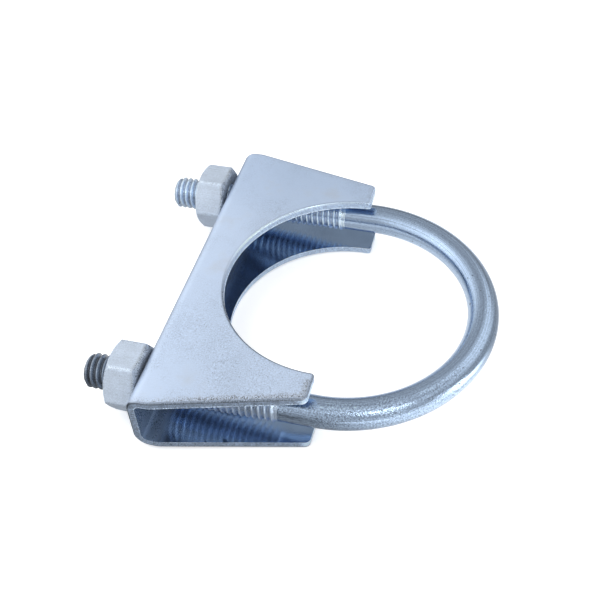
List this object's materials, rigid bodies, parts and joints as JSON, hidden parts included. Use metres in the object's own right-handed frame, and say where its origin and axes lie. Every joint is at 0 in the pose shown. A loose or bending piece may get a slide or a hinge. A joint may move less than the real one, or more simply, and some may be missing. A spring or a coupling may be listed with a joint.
{
  "type": "u-bolt clamp",
  "caption": "Saddle clamp for an exhaust pipe: a bent round rod with threaded legs, a folded steel saddle and hex nuts.",
  "frame": {"origin": "on the axis of the pipe that the saddle holds, at the middle of the saddle's height", "axes": "+Z along the pipe, +X along the bolt's legs towards its ring, +Y across from the front leg to the back leg"},
  "size_m": [0.0873, 0.084, 0.0172],
  "materials": {
    "zinc_rod": "bright zinc plate on drawn rod",
    "zinc_sheet": "satin bright zinc plate on punched sheet",
    "zinc_nut": "satin zinc plate on forged nuts"
  },
  "bodies": {
    "bolt": {"u_bolt": "zinc_rod"},
    "saddle": {"saddle": "zinc_sheet"},
    "front_nut": {"front_nut": "zinc_nut"},
    "back_nut": {"back_nut": "zinc_nut"}
  },
  "joints": [
    {"name": "saddle_travel", "type": "slide", "parent": "bolt", "child": "saddle", "axis": [1, 0, 0], "range_m": [-0.0062, 0.0295]},
    {"name": "front_nut_turn", "type": "hinge", "parent": "saddle", "child": "front_nut", "pos_m": [-0.03655, -0.03085, 0.0005], "axis": [1, 0, 0], "range_deg": [-1585, 7530]},
    {"name": "back_nut_turn", "type": "hinge", "parent": "saddle", "child": "back_nut", "pos_m": [-0.03655, 0.03085, 0.0005], "axis": [1, 0, 0], "range_deg": [-1585, 7530]}
  ],
  "couplings": [
    {"joint": "front_nut_turn", "follows": "saddle_travel", "rad_per_m": 4453},
    {"joint": "back_nut_turn", "follows": "saddle_travel", "rad_per_m": 4453}
  ]
}
